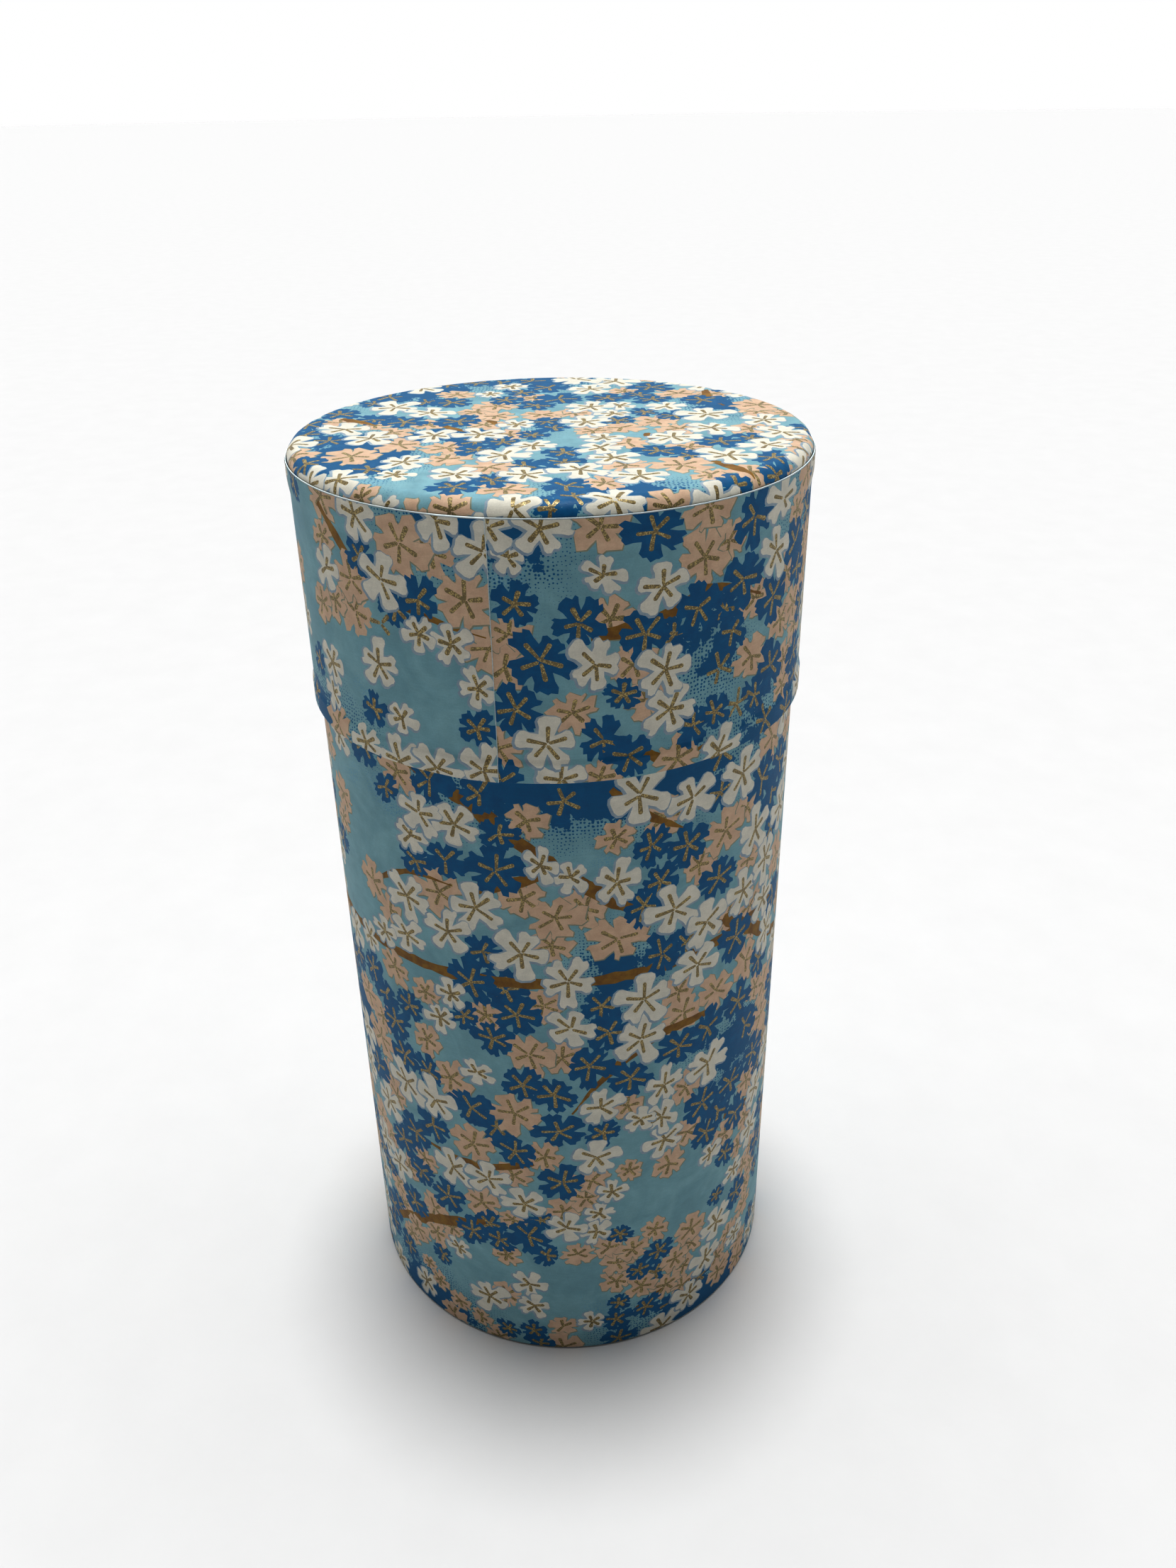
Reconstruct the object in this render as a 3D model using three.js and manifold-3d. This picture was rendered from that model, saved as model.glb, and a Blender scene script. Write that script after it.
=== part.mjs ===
// A paper-covered round tea caddy: a tinplate can with a plug lid inside and a deep slip lid over it.
// Millimetres, +Z up. The origin is the centre of the ring that the can stands on, and -Y is the front.
import * as THREE from "three";
import { mergeVertices } from "three/addons/utils/BufferGeometryUtils.js";
import Module from "manifold-3d";

const wasm = await Module();
wasm.setup();

// Driving dimensions.
const TOTAL_HEIGHT = 156.6; // closed, over the paper on the lid
const LID_RADIUS = 38.5; // over the paper on the lid's wall
const BODY_RADIUS = 37.8; // over the paper on the can's wall
const LID_EDGE_Z = 118.0; // lower edge of the lid when it is shut
const PAPER = 0.2; // thickness of the covering paper
const TIN = 0.25; // thickness of the tinplate
const GLUE = 0.05; // layer between tinplate and paper
const REST_GAP = 0.05; // between pieces that rest on each other
const CORNER_RADIUS = 2.0; // rounded edge of the lid's top, over the paper
const RING_STEPS = 60; // facets round the can
const SMALL_STEPS = 32; // facets round the knob and its rivet

// The can.
const TUBE_OUT = BODY_RADIUS - PAPER - GLUE;
const TUBE_IN = TUBE_OUT - TIN;
const BASE_HEM = 1.65; // width of the foot ring, folded inwards
const SEAM_WIDTH = 3.2; // lock seam down the inside of the tube
const SEAM_PROUD = 0.45;
const PAPER_UNDER_LID = 8; // the can's paper runs on under the lid
const PAPER_FOOT = 0.4; // bare edge below the can's paper

// The base plate: a shallow pan, pushed in upside down.
const BASE_SKIRT_GAP = 0.3;
const BASE_TOP = 3.25;
const PANEL_RADIUS = 30;
const PANEL_RISE = 0.8;
const PANEL_SLOPE = 1.6;

// The lid's shell, drawn in one piece.
const SHELL_OUT = LID_RADIUS - PAPER - GLUE;
const SHELL_IN = SHELL_OUT - TIN;
const SHELL_TOP = TOTAL_HEIGHT - PAPER - GLUE;
const HEM_HEIGHT = 2.6; // lower edge, folded outwards under the paper
const TOP_PAPER_SKIRT = 4.3; // the top paper's turned-down edge, from the top
const BAND_TOP_DROP = 1.8; // the side paper stops this far below the top
const LAP_SLOPE = 1.0; // height over which the side paper climbs a step beneath it

// The plug lid and its knob.
const FLANGE_TOP = SHELL_TOP - TIN - 2 * REST_GAP;
const RIM_TOP = FLANGE_TOP - TIN - REST_GAP;
const CURL_RADIUS = 0.8;
const FLANGE_RADIUS = 37.0;
const PLUG_GAP = 0.35; // between the plug's wall and the curled rim
const PLUG_DEPTH = 12;
const PLUG_BEND = 1; // slanted corner between the plug's wall and its floor
const KNOB_RADIUS = 8;
const KNOB_HEIGHT = 6.8;
const KNOB_NECK = 4;
const KNOB_FOOT = 5.5;
const KNOB_FOOT_HEIGHT = 0.5;
const KNOB_NECK_LOW = 1.6; // the neck's straight part, above the knob's foot
const KNOB_NECK_HIGH = 2.8;
const KNOB_CAP = 1.6; // from the cap's widest place up to its top
const KNOB_CAP_UNDER = 1.0; // from the cap's widest place down to its slanted underside
const KNOB_CAP_EDGE = 0.9; // rounding of the cap's edge
const CAP_EDGE_START = -45; // degrees, where the rounding begins
const KNOB_CAP_INSET = 0.8;
const KNOB_CROWN = 0.2; // fall of the cap's top towards its edge
const RIVET_RADIUS = 1.5;
const RIVET_HOLE = 1.7;
const RIVET_HEAD_RADIUS = 3.4;
const RIVET_HEAD = 0.9; // depth of the domed head
const RIVET_HEAD_EDGE = 0.3;
const RIVET_CROWN_RADIUS = 2.0;
const RIVET_CROWN_DEPTH = 0.75;
const RIVET_REACH = 3.6; // shank inside the knob
const RIVET_CLEARANCE = 0.2; // left free at the end of the knob's hole

// Facets along the rounded parts of an outline.
const CURL_STEPS = 6;
const CORNER_STEPS = 4;
const KNOB_EDGE_STEPS = 3;

const WELD = 1e-4; // points nearer than this are one
const TIN_ROUGHNESS = 0.32;
const PAPER_ROUGHNESS = 0.7;
const ROLLED_TIN = 0xc9cac8;
const BASE_TIN = 0xc4c5c4;
const PLUG_TIN = 0xcfd0ce;
const KNOB_TIN = 0xd2d3d1;
const RIVET_TIN = 0xb9bab9;
const SIDE_BLUE = 0x6f9fb0;
const TOP_BLUE = 0x9cc3d4;

function tin(color) {
  return new THREE.MeshStandardMaterial({ color, roughness: TIN_ROUGHNESS, metalness: 1 });
}

function paper(color) {
  return new THREE.MeshStandardMaterial({ color, roughness: PAPER_ROUGHNESS, metalness: 0 });
}

// Turns a closed outline of [radius, height] points about the Z axis.
function turned(outline, steps) {
  const onAxis = outline[0][0] === 0 && outline.at(-1)[0] === 0;
  const loop = onAxis ? outline : [...outline, outline[0]];
  const points = loop.map(([r, z]) => new THREE.Vector2(r, z));
  return new THREE.LatheGeometry(points, steps).rotateX(Math.PI / 2);
}

function arc(r, z, radius, from, to, count) {
  return Array.from({ length: count + 1 }, (_, i) => {
    const a = THREE.MathUtils.degToRad(from + ((to - from) * i) / count);
    return [r + radius * Math.cos(a), z + radius * Math.sin(a)];
  });
}

function solid(geometry) {
  const bare = geometry.index ? geometry.toNonIndexed() : geometry.clone();
  bare.deleteAttribute("normal");
  bare.deleteAttribute("uv");
  const merged = mergeVertices(bare, WELD);
  return new wasm.Manifold(
    new wasm.Mesh({
      numProp: 3,
      vertProperties: merged.attributes.position.array,
      triVerts: new Uint32Array(merged.index.array),
    }),
  );
}

function geometryOf(manifold) {
  const { vertProperties, triVerts } = manifold.getMesh();
  const geometry = new THREE.BufferGeometry();
  geometry.setAttribute("position", new THREE.BufferAttribute(new Float32Array(vertProperties), 3));
  geometry.setIndex(new THREE.BufferAttribute(new Uint32Array(triVerts), 1));
  geometry.computeVertexNormals();
  return geometry;
}

function piece(name, geometry, material) {
  const mesh = new THREE.Mesh(geometry, material);
  mesh.name = name;
  return mesh;
}

// The can's wall: a foot ring folded inwards, a straight wall and a mouth rim curled inwards.
function bodyTube() {
  const curlR = TUBE_OUT - CURL_RADIUS;
  const curlZ = RIM_TOP - CURL_RADIUS;
  const outline = [
    [TUBE_OUT - BASE_HEM, 0],
    [TUBE_OUT, 0],
    ...arc(curlR, curlZ, CURL_RADIUS, 0, 270, CURL_STEPS),
    ...arc(curlR, curlZ, CURL_RADIUS - TIN, 270, 0, CURL_STEPS),
    [TUBE_IN, TIN],
    [TUBE_OUT - BASE_HEM, TIN],
  ];
  const wall = solid(turned(outline, RING_STEPS));
  const low = BASE_TOP + PANEL_RISE;
  const high = curlZ - 2 * CURL_RADIUS;
  const facet = Math.PI / RING_STEPS; // the seam lies flat on one facet at the back
  const seam = new THREE.BoxGeometry(SEAM_PROUD + TIN / 2, SEAM_WIDTH, high - low);
  seam.translate(TUBE_IN * Math.cos(facet) - (SEAM_PROUD - TIN / 2) / 2, 0, (high + low) / 2);
  seam.rotateZ(Math.PI / 2 + facet);
  return geometryOf(wall.add(solid(seam)));
}

function basePlate() {
  const out = TUBE_IN - BASE_SKIRT_GAP;
  const foot = TIN + REST_GAP;
  const slope = PANEL_RADIUS + PANEL_SLOPE;
  const outline = [
    [0, BASE_TOP + PANEL_RISE - TIN],
    [PANEL_RADIUS, BASE_TOP + PANEL_RISE - TIN],
    [slope, BASE_TOP - TIN],
    [out - TIN, BASE_TOP - TIN],
    [out - TIN, foot],
    [out, foot],
    [out, BASE_TOP - TIN],
    [out - TIN, BASE_TOP],
    [slope, BASE_TOP],
    [PANEL_RADIUS, BASE_TOP + PANEL_RISE],
    [0, BASE_TOP + PANEL_RISE],
  ];
  return turned(outline, RING_STEPS);
}

function bodyPaper() {
  const inner = BODY_RADIUS - PAPER;
  const top = LID_EDGE_Z + PAPER_UNDER_LID;
  const outline = [
    [inner, PAPER_FOOT],
    [BODY_RADIUS, PAPER_FOOT],
    [BODY_RADIUS, top],
    [inner, top],
  ];
  return turned(outline, RING_STEPS);
}

// The plug lid: a flange on the rim, a wall down into the mouth and a flat floor with a rivet hole.
function innerLid() {
  const wall = TUBE_OUT - 2 * CURL_RADIUS - PLUG_GAP;
  const floor = FLANGE_TOP - PLUG_DEPTH;
  const outline = [
    [RIVET_HOLE, floor - TIN],
    [wall - PLUG_BEND, floor - TIN],
    [wall, floor - TIN + PLUG_BEND],
    [wall, FLANGE_TOP - TIN],
    [FLANGE_RADIUS, FLANGE_TOP - TIN],
    [FLANGE_RADIUS, FLANGE_TOP],
    [wall - TIN, FLANGE_TOP],
    [wall - TIN, floor + PLUG_BEND],
    [wall - TIN - PLUG_BEND, floor],
    [RIVET_HOLE, floor],
  ];
  return turned(outline, RING_STEPS);
}

// The knob: a waisted mushroom with a blind hole for its rivet.
function innerLidKnob() {
  const foot = FLANGE_TOP - PLUG_DEPTH + REST_GAP;
  const top = foot + KNOB_HEIGHT;
  const edge = top - KNOB_CAP;
  const hole = foot + RIVET_REACH + RIVET_CLEARANCE;
  const outline = [
    [0, hole],
    [RIVET_HOLE, hole],
    [RIVET_HOLE, foot],
    [KNOB_FOOT, foot],
    [KNOB_FOOT, foot + KNOB_FOOT_HEIGHT],
    [KNOB_NECK, foot + KNOB_NECK_LOW],
    [KNOB_NECK, foot + KNOB_NECK_HIGH],
    [KNOB_RADIUS - KNOB_CAP_INSET, edge - KNOB_CAP_UNDER],
    ...arc(KNOB_RADIUS - KNOB_CAP_EDGE, edge, KNOB_CAP_EDGE, CAP_EDGE_START, 90, KNOB_EDGE_STEPS),
    [KNOB_RADIUS / 2, top - KNOB_CROWN],
    [0, top],
  ];
  return turned(outline, SMALL_STEPS);
}

function knobRivet() {
  const floor = FLANGE_TOP - PLUG_DEPTH - TIN - REST_GAP;
  const outline = [
    [0, floor - RIVET_HEAD],
    [RIVET_CROWN_RADIUS, floor - RIVET_CROWN_DEPTH],
    [RIVET_HEAD_RADIUS, floor - RIVET_HEAD_EDGE],
    [RIVET_HEAD_RADIUS, floor],
    [RIVET_RADIUS, floor],
    [RIVET_RADIUS, floor + TIN + RIVET_REACH],
    [0, floor + TIN + RIVET_REACH],
  ];
  return turned(outline, SMALL_STEPS);
}

// The lid's shell: flat top, rounded edge, straight wall and a hem folded outwards.
function lidShell() {
  const turn = CORNER_RADIUS - PAPER - GLUE;
  const r = SHELL_OUT - turn;
  const z = SHELL_TOP - turn;
  const foot = LID_EDGE_Z + REST_GAP;
  const outline = [
    [0, SHELL_TOP - TIN],
    ...arc(r, z, turn - TIN, 90, 0, CORNER_STEPS),
    [SHELL_IN, foot],
    [SHELL_OUT + TIN, foot],
    [SHELL_OUT + TIN, foot + HEM_HEIGHT],
    [SHELL_OUT, foot + HEM_HEIGHT],
    ...arc(r, z, turn, 0, 90, CORNER_STEPS),
    [0, SHELL_TOP],
  ];
  return turned(outline, RING_STEPS);
}

function lidTopPaper() {
  const r = LID_RADIUS - CORNER_RADIUS;
  const z = TOTAL_HEIGHT - CORNER_RADIUS;
  const foot = TOTAL_HEIGHT - TOP_PAPER_SKIRT;
  const outline = [
    [0, TOTAL_HEIGHT - PAPER],
    ...arc(r, z, CORNER_RADIUS - PAPER, 90, 0, CORNER_STEPS),
    [LID_RADIUS - PAPER, foot],
    [LID_RADIUS, foot],
    ...arc(r, z, CORNER_RADIUS, 0, 90, CORNER_STEPS),
    [0, TOTAL_HEIGHT],
  ];
  return turned(outline, RING_STEPS);
}

// The lid's side paper climbs over the hem below and over the top paper's turned-down edge above.
function lidSidePaper() {
  const inner = LID_RADIUS - PAPER;
  const hem = TIN;
  const lap = PAPER + REST_GAP;
  const hemTop = LID_EDGE_Z + REST_GAP + HEM_HEIGHT + REST_GAP;
  const lapFoot = TOTAL_HEIGHT - TOP_PAPER_SKIRT - REST_GAP;
  const top = TOTAL_HEIGHT - BAND_TOP_DROP;
  const face = [
    [inner + hem, LID_EDGE_Z],
    [inner + hem, hemTop],
    [inner, hemTop + LAP_SLOPE],
    [inner, lapFoot - LAP_SLOPE],
    [inner + lap, lapFoot],
    [inner + lap, top],
  ];
  const outside = face.map(([r, z]) => [r + PAPER, z]);
  return turned([...outside, ...face.reverse()], RING_STEPS);
}

const can = new THREE.Group();
can.add(
  piece("body_tube", bodyTube(), tin(ROLLED_TIN)),
  piece("base_plate", basePlate(), tin(BASE_TIN)),
  piece("body_paper", bodyPaper(), paper(SIDE_BLUE)),
);

const plugLid = new THREE.Group();
plugLid.add(
  piece("inner_lid", innerLid(), tin(PLUG_TIN)),
  piece("inner_lid_knob", innerLidKnob(), tin(KNOB_TIN)),
  piece("knob_rivet", knobRivet(), tin(RIVET_TIN)),
);

const outerLid = new THREE.Group();
outerLid.add(
  piece("lid_shell", lidShell(), tin(ROLLED_TIN)),
  piece("lid_top_paper", lidTopPaper(), paper(TOP_BLUE)),
  piece("lid_side_paper", lidSidePaper(), paper(SIDE_BLUE)),
);

const teaCaddy = new THREE.Group();
teaCaddy.add(can, plugLid, outerLid);

export default teaCaddy;
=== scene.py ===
"""A round tea caddy covered in blossom-printed paper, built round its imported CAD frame.

Lengths are millimetres until a mesh is made, and metres from there on. Angles round the caddy are degrees
from the front (-Y), growing to the right.
"""

import math
import random

import bmesh
import bpy
import numpy as np
from mathutils import Matrix, Vector, noise
from mathutils.bvhtree import BVHTree
from mathutils.geometry import delaunay_2d_cdt


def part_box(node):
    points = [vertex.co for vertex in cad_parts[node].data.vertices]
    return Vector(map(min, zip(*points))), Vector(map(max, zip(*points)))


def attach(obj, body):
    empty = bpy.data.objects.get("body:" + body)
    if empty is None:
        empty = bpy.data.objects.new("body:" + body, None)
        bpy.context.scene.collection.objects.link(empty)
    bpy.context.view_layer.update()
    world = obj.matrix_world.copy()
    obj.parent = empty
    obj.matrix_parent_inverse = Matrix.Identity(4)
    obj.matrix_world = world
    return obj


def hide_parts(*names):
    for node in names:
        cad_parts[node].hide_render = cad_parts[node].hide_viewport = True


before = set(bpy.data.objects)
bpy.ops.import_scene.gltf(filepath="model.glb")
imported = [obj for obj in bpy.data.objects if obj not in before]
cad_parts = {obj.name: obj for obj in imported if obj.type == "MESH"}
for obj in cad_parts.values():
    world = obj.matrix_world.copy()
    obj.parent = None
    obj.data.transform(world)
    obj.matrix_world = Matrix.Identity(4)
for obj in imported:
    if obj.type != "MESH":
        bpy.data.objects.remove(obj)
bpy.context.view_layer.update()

MM = 0.001
COLUMNS = 120  # facets round everything that is turned
COLUMN = 2 * math.pi / COLUMNS


def turned_size(node):
    """Outer radius, lowest and highest point of a turned CAD node, in millimetres."""
    low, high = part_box(node)
    return high.x / MM, low.z / MM, high.z / MM


# ---- sizes taken from the frame

BODY_R, BODY_LOW, BODY_HIGH = turned_size("body_paper")
TOP_R, SKIRT_LOW, TOP_Z = turned_size("lid_top_paper")
BAND_R, BAND_LOW, BAND_HIGH = turned_size("lid_side_paper")
TUBE_R, _, RIM_Z = turned_size("body_tube")
PLATE_R, PLATE_LOW, PLATE_HIGH = turned_size("base_plate")
FLANGE_R, PLUG_LOW, FLANGE_Z = turned_size("inner_lid")
KNOB_R, KNOB_LOW, KNOB_HIGH = turned_size("inner_lid_knob")
RIVET_R, RIVET_LOW, RIVET_HIGH = turned_size("knob_rivet")
SHELL_HEM_R, SHELL_LOW, SHELL_Z = turned_size("lid_shell")

PAPER, TIN = 0.2, 0.25  # thicknesses
STEP_UP = BAND_R - TOP_R  # how far the side paper stands out over the hem and over the top paper
CORNER = 2.0  # radius of the lid's rounded edge
PRINT_LIFT = 0.05  # the printed face over the body of its sheet
BACKING = PAPER - 0.02  # the sheet's back, a hair's breadth clear of the tin
LAP = 6.0  # a wrapped sheet's end lies on its start for this far
LAP_RAMP = 2.5  # and comes down to the tin over this length
FOOT_RING, FOOT_BEND = 1.65, 0.45  # width of the ring the can stands on, and the radius of its bend
CURL, CURL_CLEAR = 0.8, 3.0  # radius of the can's curled rim, and how many radii down the lock seam ends
LOCK_SEAM_WIDTH, LOCK_SEAM_PROUD, LOCK_SEAM_EDGE, LOCK_SEAM_STEPS = 3.2, 0.45, 0.12, 6
PANEL_R, PANEL_RISE, PANEL_SLOPE = 30.0, 0.8, 1.6  # raised middle of the base plate
BASE_BENDS, DISH_BENDS = (0.5, 0.5, 0.35), (1.1, 0.3)  # inner radii of the bends, from the axis out
PLUG_WALL, KNOB_FOOT, KNOB_NECK, RIVET_HOLE, RIVET_SHANK = 35.6, 5.5, 4.0, 1.7, 1.5  # radii
KNOB_FOOT_TOP, KNOB_NECK_LOW, KNOB_NECK_TOP = 0.6, 1.6, 2.7  # heights over the knob's foot
KNOB_EDGE_DROP, KNOB_HEAD_EDGE = 1.6, 1.1  # the widest place below the top, and the depth of the head there
KNOB_HEAD_BEVEL, KNOB_SHOULDER, KNOB_CROWN = 0.5, (0.7, 0.35), 0.1  # in from the edge, and below the top
KNOB_BENDS = (0.0, 0.15, 0.2, 0.25, 0.9, 0.9, 0.5, 0.9, 1.4, 3.0)
RIVET_DOME, RIVET_RISE, RIVET_RIM = 0.55, 0.08, 0.25  # share of its radius, rise there, depth of the rim
RIVET_BENDS = (2.0, 0.1, 0.05, 0.05, 0.2)
REST_GAP, RIVET_PLAY = 0.05, 0.15  # between pieces that lie on each other, and over the rivet's end
HEM_HEIGHT = 2.6
CUT_EDGE, END_EDGE = 0.16, 0.07  # unprinted margins where a sheet's upper edge and its end show white
NEAT_EDGE = 0.03  # and along an edge that doesn't show
LID_SEAM = -11.0  # where the side paper's end shows
BODY_SEAM = 180.0
ON_AXIS = 1e-6  # radii and lengths below this are nothing
NUDGE = 1e-7  # a point on the line between two columns belongs to the later one
PROBE = 0.01  # the step over which a surface's slope is measured


# ---- surfaces that paper is pasted on


def smooth(x):
    x = np.clip(x, 0.0, 1.0)
    return x * x * (3 - 2 * x)


def around(angle, radius, height):
    """Points at an angle from the front, in radians."""
    return np.stack([radius * np.sin(angle), -radius * np.cos(angle), height], -1)


class Wrapped:
    """A sheet round the axis. On the paper, x is the distance from the sheet's start and y the height."""

    has_ends = True

    def __init__(self, radius, low, high, seam, rows, swell=np.zeros_like):
        self.radius, self.seam = radius, math.radians(seam)
        self.swell = swell  # how far the sheet stands out at each height
        self.length = 2 * math.pi * radius
        self.low, self.high, self.end = low + NEAT_EDGE, high - CUT_EDGE, self.length - END_EDGE
        self.rows = sorted({self.low, *rows, self.high})
        self.levels = [low, *self.rows, high]

    def paper(self, degrees, height):
        return self.radius * ((math.radians(degrees) - self.seam) % (2 * math.pi)), height

    def surface(self, turn, height, lift=0.0):
        to_end = self.length - turn * self.radius
        lap = PAPER * (1 - smooth((to_end - LAP) / LAP_RAMP))
        return around(self.seam + turn, self.radius + self.swell(height) + lap + lift, height)

    def back(self, turn, height):
        """The raised end has the sheet's start under it, so the back reaches down to the tin there too."""
        return around(self.seam + turn, self.radius + self.swell(height) - BACKING, height)

    def split(self, xy):
        """Paper coordinates as the column of facets, the share of its width, and the height."""
        turn = np.clip(xy[:, 0] / self.radius, 0, 2 * math.pi)
        column = np.minimum(np.floor(turn / COLUMN + NUDGE), COLUMNS - 1)
        return column, turn / COLUMN - column, xy[:, 1]

    def inside(self, xy):
        within = (xy[:, 0] > 0) & (xy[:, 0] < self.end)
        return within & (xy[:, 1] > self.low) & (xy[:, 1] < self.high)

    def grid(self):
        """Lines that cut the print where the surface bends."""
        across = [self.length * k / COLUMNS for k in range(COLUMNS + 1)] + [self.end]
        points = [(x, y) for x in across for y in (self.low, self.high)]
        points += [(x, y) for y in self.rows for x in (0, self.length)]
        return points, [(i, i + 1) for i in range(0, len(points), 2)]

    def bounds(self):
        return (0, self.length), (self.low, self.high)


class Disc:
    """A sheet pasted on the lid's top and turned down over its edge. On the paper it is laid flat."""

    has_ends = False
    INNER_RINGS = (12.0, 24.0)
    BEND_STEPS, BEND_MARGIN = 8, 0.8  # the flat part's outermost ring lies this far inside the bend
    PLEATS, PLEAT_DEPTH, PLEAT_START = 88, 0.05, 0.4
    PLEAT_SWAY, PLEAT_WAVES = 1.7, 5  # how unevenly the pleats are spaced
    FILL, FILL_MARGIN = 2.5, 2.0  # spacing of the points that divide the flat part, and their margin

    def __init__(self, radius, top, low):
        self.flat, self.top = radius - CORNER, top
        bends = [math.pi / 2 * i / self.BEND_STEPS for i in range(self.BEND_STEPS + 1)]
        self.rings = [self.flat - self.BEND_MARGIN, *(self.flat + CORNER * a for a in bends)]
        self.reach = self.rings[-1] + (top - CORNER - low - NEAT_EDGE)
        self.levels = [0.0, *self.INNER_RINGS, *self.rings, self.reach + NEAT_EDGE]
        self.rings.append(self.reach)

    def paper(self, x, y):
        return x, y

    def surface(self, turn, s, lift=0.0):
        bend = np.clip((s - self.flat) / CORNER, 0, math.pi / 2)
        down = np.maximum(s - self.flat - CORNER * math.pi / 2, 0)
        r = np.minimum(s, self.flat) + CORNER * np.sin(bend)
        z = self.top - CORNER * (1 - np.cos(bend)) - down
        gather = self.PLEAT_DEPTH * smooth((s - self.flat - self.PLEAT_START) / CORNER)
        wave = np.cos(self.PLEATS * turn + self.PLEAT_SWAY * np.sin(self.PLEAT_WAVES * turn)) - 1
        lift = lift + gather * wave
        return around(turn, r + lift * np.sin(bend), z + lift * np.cos(bend))

    def back(self, turn, s):
        return self.surface(turn, s, -BACKING)

    def split(self, xy):
        """Paper coordinates as the column of facets, the share of its width, and the way out."""
        turn = np.arctan2(xy[:, 0], -xy[:, 1]) % (2 * math.pi)
        column = np.minimum(np.floor(turn / COLUMN + NUDGE), COLUMNS - 1)
        middle = (column + 0.5) * COLUMN
        along = xy[:, 0] * np.sin(middle) - xy[:, 1] * np.cos(middle)
        across = xy[:, 0] * np.cos(middle) + xy[:, 1] * np.sin(middle)
        s = along / math.cos(COLUMN / 2)
        share = across / np.maximum(2 * s * math.sin(COLUMN / 2), ON_AXIS) + 0.5
        return column, np.clip(share, 0, 1), s

    def inside(self, xy):
        return self.split(xy)[2] < self.reach - ON_AXIS

    def grid(self):
        points, lines = [], []
        for s in self.rings:
            first = len(points)
            points += [(s * math.sin(k * COLUMN), -s * math.cos(k * COLUMN)) for k in range(COLUMNS)]
            lines += [(first + k, first + (k + 1) % COLUMNS) for k in range(COLUMNS)]
        inner_rings = range(len(self.rings) - 1)
        lines += [(i * COLUMNS + k, (i + 1) * COLUMNS + k) for k in range(COLUMNS) for i in inner_rings]
        half = int(self.flat / self.FILL)
        steps = range(-half, half + 1)
        fill = [(self.FILL * (i + 0.5 * (j % 2)), self.FILL * j) for i in steps for j in steps]
        points += [p for p in fill if math.hypot(*p) < self.flat - self.FILL_MARGIN]
        return points, lines

    def bounds(self):
        return (-self.reach, self.reach), (-self.reach, self.reach)


def placed(sheet, xy, lift):
    """Paper coordinates to points on the facets of a sheet, and the smooth surface's normals there."""
    column, share, s = sheet.split(xy)
    start = sheet.surface(column * COLUMN, s, lift)
    end = sheet.surface((column + 1) * COLUMN, s, lift)
    points = start + (end - start) * share[:, None]
    turn = (column + share) * COLUMN
    by_turn = sheet.surface(turn + PROBE, s) - sheet.surface(turn - PROBE, s)
    by_s = sheet.surface(turn, s + PROBE) - sheet.surface(turn, s - PROBE)
    normals = np.cross(by_turn, by_s)
    normals *= np.sign((normals * around(turn, 1.0, np.ones_like(s))).sum(1, keepdims=True))
    sizes = np.linalg.norm(normals, axis=1, keepdims=True)
    on_axis = sizes == 0
    return points, np.where(on_axis, (0.0, 0.0, 1.0), normals / np.where(on_axis, 1.0, sizes))


# ---- the print


class Patch:
    """An ellipse on the paper. value() is 0 on its edge, 1 at UNIT inside it and -1 at UNIT outside."""

    UNIT = 6.0

    def __init__(self, centre, half_width, half_height, tilt=0.0):
        self.centre, self.w, self.h = centre, half_width, half_height
        self.cos, self.sin = math.cos(math.radians(tilt)), math.sin(math.radians(tilt))

    def value(self, x, y):
        dx, dy = x - self.centre[0], y - self.centre[1]
        across, up = dx * self.cos + dy * self.sin, dy * self.cos - dx * self.sin
        share = np.sqrt((across / self.w) ** 2 + (up / self.h) ** 2)
        return (1 - share) * min(self.w, self.h) / self.UNIT


def field(patches, x, y):
    return np.maximum.reduce([p.value(x, y) for p in patches])


WELD = 1e-5  # points nearer than this are one
SLIVER = 1e-7  # the smallest triangle kept, in square millimetres
WHITE, BLUE, PEACH, LONE = "white", "blue", "peach", "lone"
HALO, TAN, TWIG, GOLD = "halo", "tan", "twig", "gold"
GROUND = "ground"
PETALS = 5
AXIS_SWAY = 0.06  # unevenness of the petals' directions, as a share of their spacing
PETAL_LENGTH, PETAL_LEAN = (0.86, 1.12), 0.1
NARROW_HALF, WIDE_HALF = (0.3, 0.38), (0.36, 0.46)  # half-widths of the white petals and of the others
FINE_CUT, ROUGH_CUT = 0.008, 0.018  # how unsteady the white petals' outline is, and the others'
NOTCHES = (0.0, 0.0, 0.03, 0.1, 0.13)  # depths of the notch in a white petal's tip
NOTCH_SWAY = 0.3  # how far it lies to one side
TOOTH_REACH, TOOTH_SWAY = 0.72, 0.12  # the other petals end in blunt teeth
TOOTH_GAP, TOOTH_DIP = (0.22, 0.42), (0.02, 0.17)
CROWN_FALL, CROWN_SWAY, PEACH_CROWN = 0.1, (-0.03, 0.05), 0.06  # how far out the teeth reach
VALLEY, DEEP_VALLEY = (0.36, 0.47), 0.1  # how far out petals part, and how much farther if not white
VALLEY_GROWTH = 1.7  # a grown shape fills the narrow gaps between its petals faster than it moves outwards
SQUEEZE = 0.8  # the most a blossom is squeezed
STROKE_WIDTH, STROKE_START, STROKE_END = 0.66, 0.12, (0.56, 0.7)  # a stroke's width, and its two ends
STROKE_NECK, STROKE_CLUB, STROKE_OFF = (0.6, 0.85), (0.9, 1.15), 0.03  # widths of its ends, and its place
CLUB_CORNER, STROKE_POINT = (0.3, 0.75), 0.8  # as shares of the widths there

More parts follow.
